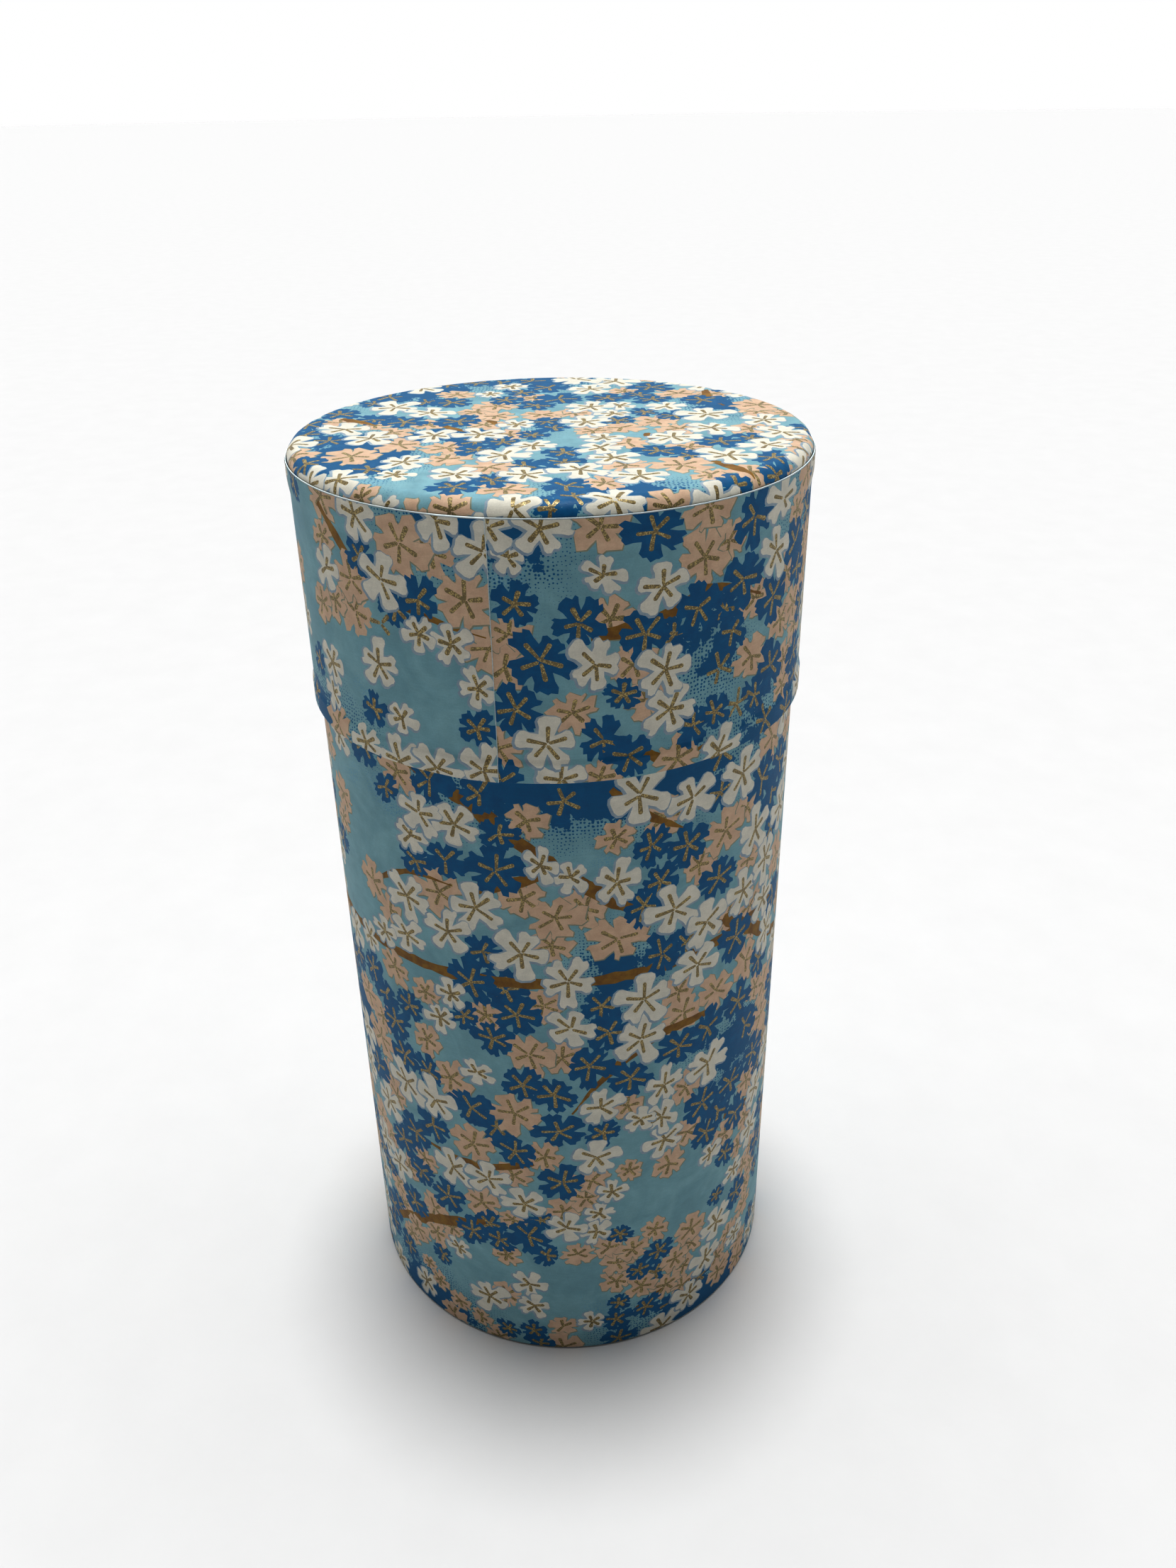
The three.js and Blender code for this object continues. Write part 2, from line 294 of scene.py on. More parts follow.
# Half of a petal from its side to its tip: the place along it, the place across it as a share of its
# half-width, and the direction in which the point moves when the shape is grown.
FLANK = ((0.60, 0.80, 0.0, 1.0), (0.80, 1.0, 0.3, 0.9))
BLUNT_TIP = ((0.93, 0.88, 0.7, 0.7), (1.0, 0.48, 1.0, 0.2))


def bearing(angle):
    return math.cos(angle), math.sin(angle)


def rotated(x, y, way):
    return x * way[0] - y * way[1], x * way[1] + y * way[0]


def mirrored(points):
    """The same points on the other side of the axis. Every second value of a point lies across it."""
    return [tuple(-v if i % 2 else v for i, v in enumerate(point)) for point in points]


def tip(rng, kind):
    """The end of a petal from its right to its left."""
    if kind == WHITE:
        notch = (1.0 - rng.choice(NOTCHES), rng.uniform(-NOTCH_SWAY, NOTCH_SWAY), 1.0, 0.0)
        return [*mirrored(BLUNT_TIP), notch, *BLUNT_TIP[::-1]]
    teeth = 3 if kind == BLUE else 2
    made = []
    for i in range(teeth):
        y = TOOTH_REACH * (2 * i / (teeth - 1) - 1) + rng.uniform(-TOOTH_SWAY, TOOTH_SWAY)
        crown = 1.0 - CROWN_FALL * abs(y) + rng.uniform(*CROWN_SWAY)
        crown += PEACH_CROWN if kind == PEACH and i == 1 else 0
        made.append((crown, y, 0.9, 0.3 * y))
        if i < teeth - 1:
            dip = crown - rng.uniform(*TOOTH_DIP)
            made.append((dip, y + rng.uniform(*TOOTH_GAP), 1.0, 0.0))
    return made


def petal(rng, kind, direction):
    """One petal as points and growth directions, turning with the blossom."""
    length = rng.uniform(*PETAL_LENGTH)
    half = rng.uniform(*(NARROW_HALF if kind == WHITE else WIDE_HALF))
    lean = rng.uniform(-PETAL_LEAN, PETAL_LEAN)
    rough = FINE_CUT if kind == WHITE else ROUGH_CUT
    way = bearing(direction)
    points = []
    for x, y, gx, gy in [*mirrored(FLANK), *tip(rng, kind), *FLANK[::-1]]:
        x = x * length + rng.uniform(-rough, rough)
        y = y * half + lean * x * x + rng.uniform(-rough, rough)
        points.append((*rotated(x, y, way), *rotated(gx, gy, way)))
    return points


def blossom_outline(rng, kind):
    """Five hand-cut petals round a centre, for a radius of 1, with the direction of each."""
    axes = [math.tau * (i + rng.uniform(-AXIS_SWAY, AXIS_SWAY)) / PETALS for i in range(PETALS)]
    outline = []
    for i, axis in enumerate(axes):
        outline += petal(rng, kind, axis)
        after = axes[(i + 1) % PETALS] + (math.tau if i == PETALS - 1 else 0)
        depth = rng.uniform(*VALLEY) + (0.0 if kind == WHITE else DEEP_VALLEY)
        c, s = bearing((axis + after) / 2)
        outline.append((depth * c, depth * s, VALLEY_GROWTH * c, VALLEY_GROWTH * s))
    return outline, axes


class Pose2D:
    """Where a blossom lies, which way it is turned, and how far it is squeezed."""

    def __init__(self, rng, centre, radius):
        self.centre, self.radius = centre, radius
        self.turn = bearing(rng.uniform(0, math.tau))
        self.squeeze = rng.uniform(SQUEEZE, 1.0)
        self.side = bearing(rng.uniform(0, math.pi))

    def place(self, x, y):
        """A point of a blossom of radius 1, on the paper."""
        x, y = rotated(x, y, self.turn)
        x, y = x * self.radius, y * self.radius
        along = (x * self.side[0] + y * self.side[1]) * (self.squeeze - 1)
        return self.centre[0] + x + along * self.side[0], self.centre[1] + y + along * self.side[1]

    def shape(self, outline, margin=0.0, slip=(0.0, 0.0)):
        grow = margin / self.radius
        grown = [self.place(x + gx * grow, y + gy * grow) for x, y, gx, gy in outline]
        return [(x + slip[0], y + slip[1]) for x, y in grown]


def stroke(rng, pose, direction):
    """One club-ended stroke of gold along a petal."""
    half = STROKE_WIDTH / 2 / pose.radius
    near, far = rng.uniform(0.0, STROKE_START), rng.uniform(*STROKE_END)
    thin, thick = half * rng.uniform(*STROKE_NECK), half * rng.uniform(*STROKE_CLUB)
    off = rng.uniform(-STROKE_OFF, STROKE_OFF)
    corner = (far - thick * CLUB_CORNER[0], thick * CLUB_CORNER[1])
    side = [(near, thin), (far - thick, thick), corner]
    shape = [*mirrored(side), (far, 0), *side[::-1], (near - thin * STROKE_POINT, 0)]
    way = bearing(direction)
    return [pose.place(*rotated(x, y + off, way)) for x, y in shape]


TWIG_STEP, TWIG_END, TWIG_TAPER = 1.3, 0.12, 0.7
KNOTS, KNOT_SPACING, KNOT_LAYER = 0.5, 5, 3.1  # size, distance, and the layer of noise they are read from
BARK = (0.78, 1.2)  # raggedness of a twig's edge, as shares of its width


def branch(rng, route, width):
    """A tapering twig with a ragged edge along a route."""
    points = [Vector(p) for p in route]
    fine = []
    for i in range(len(points) - 1):
        before, after = points[max(i - 1, 0)], points[min(i + 2, len(points) - 1)]
        a, b = points[i], points[i + 1]
        steps = max(2, round((b - a).length / TWIG_STEP))
        for k in range(steps):
            t = k / steps
            pull = (b - before) * (t * (1 - t) ** 2) / 2 - (after - a) * (t * t * (1 - t)) / 2
            fine.append(a + (b - a) * (t * t * (3 - 2 * t)) + pull)
    fine.append(points[-1])
    left, right = [], []
    for i, p in enumerate(fine):
        along = (fine[min(i + 1, len(fine) - 1)] - fine[max(i - 1, 0)]).normalized()
        side = Vector((-along.y, along.x))
        share = i / (len(fine) - 1)
        taper = TWIG_END + (1 - TWIG_END) * math.sin(math.pi * min(1, share + TWIG_END)) ** TWIG_TAPER
        knot = KNOTS * max(0.0, noise.noise(Vector((p.x / KNOT_SPACING, p.y / KNOT_SPACING, KNOT_LAYER))))
        half = width / 2 * (taper + knot)
        left.append(p + side * half * rng.uniform(*BARK))
        right.append(p - side * half * rng.uniform(*BARK))
    return [(p.x, p.y) for p in left[::-1] + right]


def ccw(loop):
    area = sum(a[0] * b[1] - b[0] * a[1] for a, b in zip(loop, loop[1:] + loop[:1]))
    return loop if area > 0 else loop[::-1]


LARGE, MIDDLE, SMALL = 4.6, 4.0, 3.2  # blossom radii
NEAR_OPEN, HALF_OPEN, KEEP_OFF = -0.9, -0.35, -0.12  # values of the open ground where smaller ones begin
THROW = 2.2  # mean spacing of the places thrown at a sheet
CLOSENESS = (0.92, 0.84, 0.77, 0.71, 0.66)  # how near blossoms come in each pass, as a share of their radii
SPREAD = (0.9, 1.08)  # how much their radii vary
IN_CLOUD, DEEP_CLOUD = 0.1, 0.35  # values of a cloud: other inks from the one, few blossoms from the other
CLOUD_SHARES = {WHITE: 0.5, LONE: 0.18, PEACH: 0.16, BLUE: 0.16}
DRIFT, DRIFT_LAYERS = 13, 7.3  # size of the regions that lean to blue or peach, and what parts the seeds
CROWD_REACH, CROWDING = 1.15, 0.62  # each near blossom of an ink makes that ink less likely by this share
UNDER_OPEN, UNDER_CLOSE = -0.3, 0.55  # the half-hidden ones: where they begin, how near they come,
UNDER_PEACH, UNDER_SPREAD = 0.62, (0.85, 1.0)  # how many are peach, and how much their radii vary
CHAIN_STEP, CHAIN_SWAY = 1.75, 1.2  # the spacing along a chain, in radii, and its unsteadiness
CHAIN_TRUE, CHAIN_SPREAD = 0.75, (0.95, 1.25)  # how many have the chain's own ink, and how sizes vary
LAYER = {PEACH: 0.0, TWIG: 0.5, BLUE: 1.1, LONE: 1.1, WHITE: 2.1}  # the order the inks are laid in
LAYER_DEPTH = 0.9  # how much a blossom's place in that order varies
HALO_WIDTH, TAN_WIDTH = 0.28, 0.16
HALO_SLIP = (-0.14, -0.12)  # the screens were not laid down exactly over each other
TAN_SLIP = (0.06, -0.08)
STROKES, STROKE_SWAY = 0.93, 0.14  # share of the petals that have one, and its unevenness
FOOT_HEIGHT, FOOT_RISE = 25.0, 30.0  # where the blossoms begin to grow, and over what height


class Print:
    """The pattern of one sheet: shapes in the order they are laid down."""

    def __init__(self, sheet, seed, shares, scale, growth, open_ground, clouds, chains, twigs):
        self.sheet, self.rng, self.seed = sheet, random.Random(seed), seed
        self.shares = shares  # how much of it is blue, and white
        self.scale, self.growth = scale, growth
        self.open, self.clouds = self.patches(open_ground), self.patches(clouds)
        self.centres, self.radii = np.zeros((0, 2)), np.zeros(0)
        self.blossoms = []  # (order, kind, centre, radius)
        self.shapes = []  # (order, ink, outline)
        for kind, *route in chains:
            self.chain(self.on_paper(route), kind)
        for closeness in CLOSENESS:
            self.scatter(closeness)
        self.underlay()
        for width, *route in twigs:
            self.shapes.append((LAYER[TWIG], TWIG, branch(self.rng, self.on_paper(route), width)))
        for blossom in self.blossoms:
            self.draw(*blossom)
        self.shapes.sort(key=lambda s: s[0])

    def patches(self, rows):
        return [Patch(self.sheet.paper(a, b), *sizes) for a, b, *sizes in rows]

    def on_paper(self, route):
        return [self.sheet.paper(a, b) for a, b in route]

    def scale_at(self, height):
        """The blossoms grow smaller towards the foot."""
        return self.scale + self.growth * float(smooth((height - FOOT_HEIGHT) / FOOT_RISE))

    def has_room(self, centre, radius, closeness):
        gaps = np.hypot(*(self.centres - centre).T)
        return bool((gaps > closeness * (radius + self.radii)).all())

    def kind_at(self, x, y, cloud):
        """An ink for a new blossom: the sheet's shares, less of what already lies round it."""
        lean = noise.noise(Vector((x / DRIFT, y / DRIFT, self.seed * DRIFT_LAYERS)))
        blue, white = self.shares
        chances = {BLUE: blue * (1 + lean), WHITE: white, PEACH: (1 - blue - white) * (1 - lean)}
        if cloud > IN_CLOUD:
            chances = CLOUD_SHARES.copy()
        gaps = np.hypot(*(self.centres - (x, y)).T) / (self.radii + MIDDLE)
        for (_, kind, _, _), gap in zip(self.blossoms, gaps):
            if gap < CROWD_REACH and kind in chances:
                chances[kind] *= CROWDING
        return self.rng.choices(list(chances), list(chances.values()))[0]

    def add(self, kind, centre, radius, order=None):
        layer = LAYER[kind] + LAYER_DEPTH * self.rng.random() if order is None else order
        self.blossoms.append((layer, kind, centre, radius))
        self.centres = np.vstack([self.centres, centre])
        self.radii = np.append(self.radii, radius)

    def chain(self, route, kind):
        """Small blossoms strung along a route over open ground."""
        rng = self.rng
        points = [Vector(p) for p in route]
        for a, b in zip(points, points[1:]):
            steps = max(1, round((b - a).length / (CHAIN_STEP * SMALL)))
            for k in range(steps):
                p = a + (b - a) * (k / steps)
                x, y = (c + rng.uniform(-CHAIN_SWAY, CHAIN_SWAY) for c in p)
                chosen = kind if rng.random() < CHAIN_TRUE else PEACH
                self.add(chosen, (x, y), SMALL * rng.uniform(*CHAIN_SPREAD))

    def thrown(self):
        """Random places over the whole sheet, with the values of the open ground and the clouds there."""
        (x0, x1), (y0, y1) = self.sheet.bounds()
        count = int((x1 - x0) * (y1 - y0) / THROW**2)
        places = [(self.rng.uniform(x0, x1), self.rng.uniform(y0, y1)) for _ in range(count)]
        x, y = np.array(places).T
        return zip(places, field(self.open, x, y), field(self.clouds, x, y))

    def scatter(self, closeness):
        """Blossoms thrown wherever there is room."""
        for place, clear, cloud in self.thrown():
            if clear > KEEP_OFF or (cloud > DEEP_CLOUD and closeness < CLOSENESS[1]):
                continue
            size = SMALL if clear > HALF_OPEN else MIDDLE if clear > NEAR_OPEN else LARGE
            radius = size * self.scale_at(place[1]) * self.rng.uniform(*SPREAD)
            if self.has_room(place, radius, closeness):
                self.add(self.kind_at(*place, cloud), place, radius)

    def underlay(self):
        """Half-hidden blossoms beneath, in the gaps of the thick clusters."""
        for place, clear, cloud in self.thrown():
            if clear > UNDER_OPEN or cloud > 0.0:
                continue
            radius = MIDDLE * self.scale_at(place[1]) * self.rng.uniform(*UNDER_SPREAD)
            if self.has_room(place, radius, UNDER_CLOSE):
                kind = PEACH if self.rng.random() < UNDER_PEACH else BLUE
                self.add(kind, place, radius, order=LAYER[kind] - self.rng.random())

    def draw(self, order, kind, centre, radius):
        rng = self.rng
        outline, axes = blossom_outline(rng, kind)
        pose = Pose2D(rng, centre, radius)
        if kind == WHITE:
            self.shapes.append((order, HALO, pose.shape(outline, HALO_WIDTH, HALO_SLIP)))
        if kind == PEACH:
            self.shapes.append((order, TAN, pose.shape(outline, TAN_WIDTH, TAN_SLIP)))
        if kind != LONE:
            self.shapes.append((order, kind, pose.shape(outline)))
        for axis in axes:
            if rng.random() < STROKES:
                way = axis + rng.uniform(-STROKE_SWAY, STROKE_SWAY)
                self.shapes.append((order, GOLD, stroke(rng, pose, way)))

    def inked_flat(self):
        """The flat sheet divided along every outline: (points, triangles, the ink on top of each)."""
        (x0, x1), (y0, y1) = self.sheet.bounds()
        points = [(x0, y0), (x1, y0), (x1, y1), (x0, y1)]
        faces = []
        for _, _, loop in self.shapes:
            faces.append(list(range(len(points), len(points) + len(loop))))
            points += ccw(loop)
        border = [(0, 1), (1, 2), (2, 3), (3, 0)]
        made = delaunay_2d_cdt([Vector(p) for p in points], border, faces, 0, WELD, True)
        inks = np.array([self.shapes[max(ids)][1] if ids else GROUND for ids in made[5]])
        return np.array([(p.x, p.y) for p in made[0]]), np.array(made[2]), inks

    def cut(self):
        """The sheet divided along what shows and where it bends: (points, triangles, inks)."""
        flat, pieces, flat_inks = self.inked_flat()
        edges = np.sort(np.concatenate([pieces[:, [0, 1]], pieces[:, [1, 2]], pieces[:, [2, 0]]]), 1)
        owner = np.tile(np.arange(len(pieces)), 3)
        order = np.lexsort(edges.T)
        edges, owner = edges[order], owner[order]
        shared = (edges[1:] == edges[:-1]).all(1)
        change = shared & (flat_inks[owner[1:]] != flat_inks[owner[:-1]])
        used, ends = np.unique(edges[1:][change], return_inverse=True)
        points, lines = self.sheet.grid()
        ends = ends.reshape(-1, 2) + len(points)
        points += flat[used].tolist()
        made = delaunay_2d_cdt([Vector(p) for p in points], lines + ends.tolist(), [], 0, WELD, False)
        xy = np.array([(p.x, p.y) for p in made[0]])
        triangles = np.array(made[2])
        a, b, c = (xy[triangles[:, i]] for i in range(3))
        area = np.abs((b - a)[:, 0] * (c - a)[:, 1] - (b - a)[:, 1] * (c - a)[:, 0]) / 2
        middle = (a + b + c) / 3
        kept = self.sheet.inside(middle) & (area > SLIVER)
        triangles, middle = triangles[kept], middle[kept]
        level = BVHTree.FromPolygons(np.pad(flat, ((0, 0), (0, 1))).tolist(), pieces.tolist())
        under = [level.ray_cast((x, y, 1.0), (0.0, 0.0, -1.0))[2] for x, y in middle]
        return xy, triangles, np.array([GROUND if i is None else flat_inks[i] for i in under])


# ---- meshes


SEAM_SHARP, TURNED_SHARP, SHEET_SHARP = 50, 35, 40  # an edge bent by more degrees than this looks sharp
FILLET_STEPS = 6
STRAIGHT = 1e-3  # a bend of fewer radians than this is none


def finished_mesh(name, points, faces, materials):
    """A smooth piece from points in millimetres."""
    mesh = bpy.data.meshes.new(name)
    mesh.from_pydata((np.asarray(points) * MM).tolist(), [], [list(map(int, f)) for f in faces])
    for material in materials:
        mesh.materials.append(material)
    mesh.polygons.foreach_set("use_smooth", np.ones(len(mesh.polygons), bool))
    piece = bpy.data.objects.new(name, mesh)
    bpy.context.scene.collection.objects.link(piece)
    return piece


def keep(piece, body, node):
    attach(piece, body)
    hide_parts(node)


def printed_face(name, pattern, body, node):
    """The printed face of a sheet, one material to each ink. It keeps its paper coordinates for them."""
    xy, triangles, names = pattern.cut()
    points, normals = placed(pattern.sheet, xy, 0.0)
    cloud = field(pattern.clouds, xy[:, 0], xy[:, 1])
    a, b, c = (points[triangles[:, i]] for i in range(3))
    facing = (np.cross(b - a, c - a) * normals[triangles[:, 0]]).sum(1)
    triangles[facing < 0] = triangles[facing < 0][:, ::-1]
    used, index = np.unique(triangles, return_inverse=True)
    piece = finished_mesh(name, points[used], index.reshape(-1, 3), INKS.values())
    order = list(INKS)
    piece.data.polygons.foreach_set("material_index", np.array([order.index(n) for n in names], np.int32))
    paper = piece.data.attributes.new("paper", "FLOAT_VECTOR", "POINT")
    paper.data.foreach_set("vector", np.column_stack([xy, cloud])[used].astype(np.float32).ravel())
    piece.data.normals_split_custom_set_from_vertices(normals[used].tolist())
    keep(piece, body, node)


def arc(r, z, radius, start, end, steps):
    """Points on an arc in the outline's plane, angles in degrees."""
    made = []
    for i in range(steps + 1):
        a = math.radians(start + (end - start) * i / steps)
        made.append((r + radius * math.cos(a), z + radius * math.sin(a)))
    return made


def offset_line(points, distance):
    """The line moved to its left, corners kept."""
    moved = []
    for i, point in enumerate(points):
        a = Vector(points[max(i - 1, 0)])
        b = Vector(point)
        c = Vector(points[min(i + 1, len(points) - 1)])
        sides = [Vector((-d.y, d.x)).normalized() for d in (b - a, c - b) if d.length > 0]
        way = sum(sides, Vector((0, 0))).normalized()
        moved.append(tuple(b + way * distance / way.dot(sides[0])))
    return moved


def filleted(points, radii):
    """The line with each inner corner rounded by its radius."""
    made = [points[0]]
    for i in range(1, len(points) - 1):
        a, b, c = Vector(points[i - 1]), Vector(points[i]), Vector(points[i + 1])
        into, away = (a - b).normalized(), (c - b).normalized()
        half = into.angle(away) / 2
        if radii[i - 1] < ON_AXIS or half > math.pi / 2 - STRAIGHT:
            made.append(tuple(b))
            continue
        reach = radii[i - 1] / math.tan(half)
        centre = b + (into + away).normalized() * radii[i - 1] / math.sin(half)
        start, end = b + into * reach - centre, b + away * reach - centre
        swing = start.angle_signed(end)
        for k in range(FILLET_STEPS + 1):
            made.append(tuple(centre + Matrix.Rotation(-swing * k / FILLET_STEPS, 2) @ start))
    made.append(points[-1])
    return made


def pressed(points, bends):
    """A closed outline of sheet metal from the line of its right side and the inner radius of each bend."""
    right, left = [], []
    for i, bend in enumerate(bends):
        a, b, c = (Vector(points[i + k]) for k in range(3))
        turns_left = (b - a).cross(c - b) > 0
        left.append(bend if turns_left else bend + TIN)
        right.append(bend + TIN if turns_left else bend)
    return filleted(points, right) + filleted(offset_line(points, TIN), left)[::-1]


def metal_piece(name, points, faces, material, sharp, body, node):
    """A closed piece with its faces turned outwards."""
    piece = finished_mesh(name, points, faces, [material])
    shape = bmesh.new()
    shape.from_mesh(piece.data)
    bmesh.ops.recalc_face_normals(shape, faces=shape.faces)
    shape.to_mesh(piece.data)
    shape.free()
    piece.data.set_sharp_from_angle(angle=math.radians(sharp))
    keep(piece, body, node)


def turned_piece(name, outline, material, body, slot, node):
    """A closed outline of (radius, height) turned about the axis."""
    points, faces, rings = [], [], []
    for r, z in outline:
        count = 1 if r < ON_AXIS else COLUMNS
        rings.append([len(points) + k % count for k in range(COLUMNS + 1)])
        points += [(r * math.sin(k * COLUMN), -r * math.cos(k * COLUMN), z) for k in range(count)]
    for low, high in zip(rings, rings[1:] + rings[:1]):
        for k in range(COLUMNS):
            loop = [low[k], low[k + 1], high[k + 1], high[k]]
            face = [p for i, p in enumerate(loop) if p != loop[i - 1]]
            if len(face) > 2:
                faces.append(face)
    metal_piece(name, points, faces, material, TURNED_SHARP, body, node)


def can_wall(material):
    """Straight wall, foot ring folded inwards and mouth rim curled inwards."""
    inner = TUBE_R - TIN
    outline = [
        (TUBE_R - FOOT_RING, 0.0),
        *arc(TUBE_R - FOOT_BEND, FOOT_BEND, FOOT_BEND, -90, 0, 6),
        *arc(TUBE_R - CURL, RIM_Z - CURL, CURL, 0, 270, 18),
        *arc(TUBE_R - CURL, RIM_Z - CURL, CURL - TIN, 270, 0, 16),
        *arc(inner - FOOT_BEND + TIN, FOOT_BEND, FOOT_BEND - TIN, 0, -90, 4),
        (TUBE_R - FOOT_RING, TIN),
    ]
    turned_piece("can_wall", outline, material, "can", "tinplate", "body_tube")
    inside, edge = inner - LOCK_SEAM_PROUD, LOCK_SEAM_EDGE
    bevel = 1 - edge / (LOCK_SEAM_WIDTH / 2)
    across = [(-1, inner), (-1, inside + edge), (-bevel, inside)]
    across += [(2 * i / LOCK_SEAM_STEPS - 1, inside) for i in range(1, LOCK_SEAM_STEPS)]
    across += [(bevel, inside), (1, inside + edge), (1, inner)]
    points = []
    for z in (PLATE_HIGH, RIM_Z - CURL_CLEAR * CURL):
        for side, radius in across:
            a = math.pi + side * LOCK_SEAM_WIDTH / 2 / inner
            points.append((radius * math.sin(a), -radius * math.cos(a), z))
    n = len(across)
    faces = [(i, (i + 1) % n, n + (i + 1) % n, n + i) for i in range(n)]
    faces += [tuple(range(n)), tuple(range(2 * n - 1, n - 1, -1))]
    metal_piece("can_lock_seam", points, faces, material, SEAM_SHARP, "can", "body_tube")


def can_base(material):
    """A shallow pan pushed in upside down, with a raised middle and a skirt."""
    out, shoulder = PLATE_R - TIN, PLATE_HIGH - PANEL_RISE - TIN
    line = [
        (0.0, PLATE_HIGH - TIN),
        (PANEL_R, PLATE_HIGH - TIN),
        (PANEL_R + PANEL_SLOPE, shoulder),
        (out, shoulder),
        (out, PLATE_LOW),
    ]
    turned_piece("can_base", pressed(line, BASE_BENDS), material, "can", "tinplate", "base_plate")


def plug(material):
    """The plug lid: a drawn dish with a flat flange, its knob and the knob's rivet."""
    own = (material, "plug_lid", "lid_tinplate")
    line = [
        (RIVET_HOLE, PLUG_LOW),
        (PLUG_WALL, PLUG_LOW),
        (PLUG_WALL, FLANGE_Z - TIN),
        (FLANGE_R, FLANGE_Z - TIN),
    ]
    turned_piece("plug_dish", pressed(line, DISH_BENDS), *own, "inner_lid")
    edge, hollow = KNOB_HIGH - KNOB_EDGE_DROP, RIVET_HIGH + RIVET_PLAY
    line = [
        (0.0, hollow),
        (RIVET_HOLE, hollow),
        (RIVET_HOLE, KNOB_LOW),
        (KNOB_FOOT, KNOB_LOW),
        (KNOB_FOOT, KNOB_LOW + KNOB_FOOT_TOP),
        (KNOB_NECK, KNOB_LOW + KNOB_NECK_LOW),
        (KNOB_NECK, KNOB_LOW + KNOB_NECK_TOP),
        (KNOB_R - KNOB_HEAD_BEVEL, edge - KNOB_HEAD_EDGE),
        (KNOB_R, edge),
        (KNOB_R - KNOB_SHOULDER[0], KNOB_HIGH - KNOB_SHOULDER[1]),
        (KNOB_R / 2, KNOB_HIGH - KNOB_CROWN),
        (0.0, KNOB_HIGH),
    ]
    turned_piece("plug_knob", filleted(line, KNOB_BENDS), *own, "inner_lid_knob")
    seat = PLUG_LOW - REST_GAP
    line = [
        (0.0, RIVET_LOW),
        (RIVET_R * RIVET_DOME, RIVET_LOW + RIVET_RISE),
        (RIVET_R, seat - RIVET_RIM),
        (RIVET_R, seat),
        (RIVET_SHANK, seat),
        (RIVET_SHANK, RIVET_HIGH),
        (0.0, RIVET_HIGH),
    ]
    turned_piece("plug_rivet", filleted(line, RIVET_BENDS), *own, "knob_rivet")


def lid_cup(material):
    """The outer lid's cup, drawn in one piece, with a hem folded outwards at its mouth."""
    inner = SHELL_HEM_R - 2 * TIN
    turn = CORNER - PAPER - REST_GAP
    r, z = inner + TIN - turn, SHELL_Z - turn
    outline = [
        (0.0, SHELL_Z - TIN),
        *arc(r, z, turn - TIN, 90, 0, 8),
        *arc(inner + TIN, SHELL_LOW + TIN, TIN, 180, 360, 10),
        (SHELL_HEM_R, SHELL_LOW + HEM_HEIGHT),
        (inner + TIN, SHELL_LOW + HEM_HEIGHT),
        *arc(r, z, turn, 0, 90, 10),
        (0.0, SHELL_Z),
    ]
    turned_piece("lid_cup", outline, material, "outer_lid", "lid_tinplate", "lid_shell")


def sheet_piece(name, sheet, material, body, node):
    """The body of a sheet under its printed face: closed, and with its cut edges bare."""
    columns = COLUMNS + 1 if sheet.has_ends else COLUMNS
    turns = np.arange(columns) * COLUMN
    rows = [sheet.surface(turns, np.full(columns, s), -PRINT_LIFT) for s in sheet.levels]
    rows += [sheet.back(turns, np.full(columns, s)) for s in sheet.levels[::-1]]
    count = len(rows)

    def at(row, column):
        return (row % count) * columns + column % columns

    steps = [(i, k) for i in range(count) for k in range(COLUMNS)]
    faces = [[at(i, k), at(i, k + 1), at(i + 1, k + 1), at(i + 1, k)] for i, k in steps]
    if sheet.has_ends:
        for i in range(len(sheet.levels) - 1):
            start = [at(j, 0) for j in (i, i + 1, -2 - i, -1 - i)]
            end = [at(j, COLUMNS) for j in (-1 - i, -2 - i, i + 1, i)]
            faces += [start, end]
    piece = finished_mesh(name, np.concatenate(rows), faces, [material])
    piece.data.set_sharp_from_angle(angle=math.radians(SHEET_SHARP))
    keep(piece, body, node)


# ---- materials


def linear(colour):
    """An sRGB colour of 0 to 255 as linear RGBA."""
    parts = [c / 255 for c in colour]
    return [c / 12.92 if c < 0.04045 else ((c + 0.055) / 1.055) ** 2.4 for c in parts] + [1.0]


